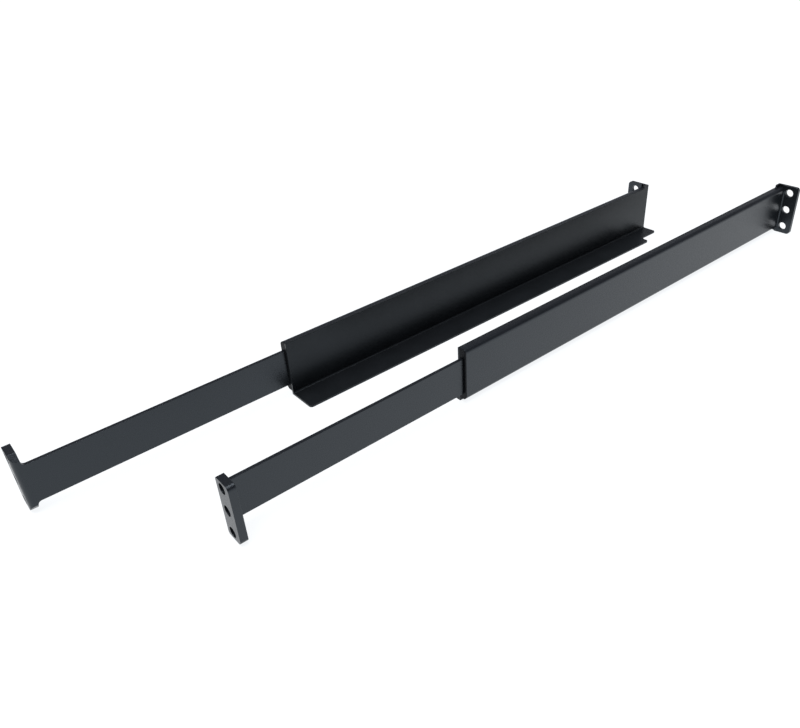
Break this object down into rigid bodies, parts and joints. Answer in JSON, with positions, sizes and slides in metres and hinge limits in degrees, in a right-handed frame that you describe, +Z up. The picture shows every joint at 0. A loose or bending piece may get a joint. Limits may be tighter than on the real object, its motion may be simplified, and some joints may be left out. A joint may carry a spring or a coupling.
{
  "type": "sliding server rail pair",
  "caption": "Mirrored pair of black steel telescoping rack rails: chassis shelf on a flat sleeve, sliding bar, and drilled ears at both ends.",
  "frame": {"origin": "centre of the pair's footprint, on the surface that both rails stand on", "axes": "+X across the rack from the left to the right rail, +Y along the rails towards the rear ears, +Z up"},
  "size_m": [0.125, 0.665, 0.0444],
  "materials": {
    "black_powder_coat": "satin black powder coat on folded sheet steel",
    "black_moulding": "fine-grained black moulded plastic",
    "guide_plastic": "smooth black low-friction plastic",
    "glide_plastic": "natural low-friction plastic",
    "bright_steel": "zinc-plated steel"
  },
  "bodies": {
    "left_sleeve": {"left_lower_guide": "guide_plastic", "left_mouth_collar": "black_moulding", "left_outer_channel": "black_powder_coat", "left_shelf_bracket": "black_powder_coat", "left_travel_stop": "bright_steel", "left_upper_guide": "guide_plastic"},
    "left_bar": {"left_extension_bar": "black_powder_coat", "left_glide_pad": "glide_plastic", "left_glide_rivets": "bright_steel"},
    "right_sleeve": {"right_lower_guide": "guide_plastic", "right_mouth_collar": "black_moulding", "right_outer_channel": "black_powder_coat", "right_shelf_bracket": "black_powder_coat", "right_travel_stop": "bright_steel", "right_upper_guide": "guide_plastic"},
    "right_bar": {"right_extension_bar": "black_powder_coat", "right_glide_pad": "glide_plastic", "right_glide_rivets": "bright_steel"}
  },
  "joints": [
    {"name": "left_bar_slide", "type": "slide", "parent": "left_sleeve", "child": "left_bar", "axis": [0, -1, 0], "range_m": [-0.172, 0.1095]},
    {"name": "right_bar_slide", "type": "slide", "parent": "right_sleeve", "child": "right_bar", "axis": [0, -1, 0], "range_m": [-0.172, 0.1095]},
    {"name": "right_rail_place", "type": "slide", "parent": "left_sleeve", "child": "right_sleeve", "axis": [0.9756, -0.2194, 0], "range_m": [0, 0.3646]}
  ]
}
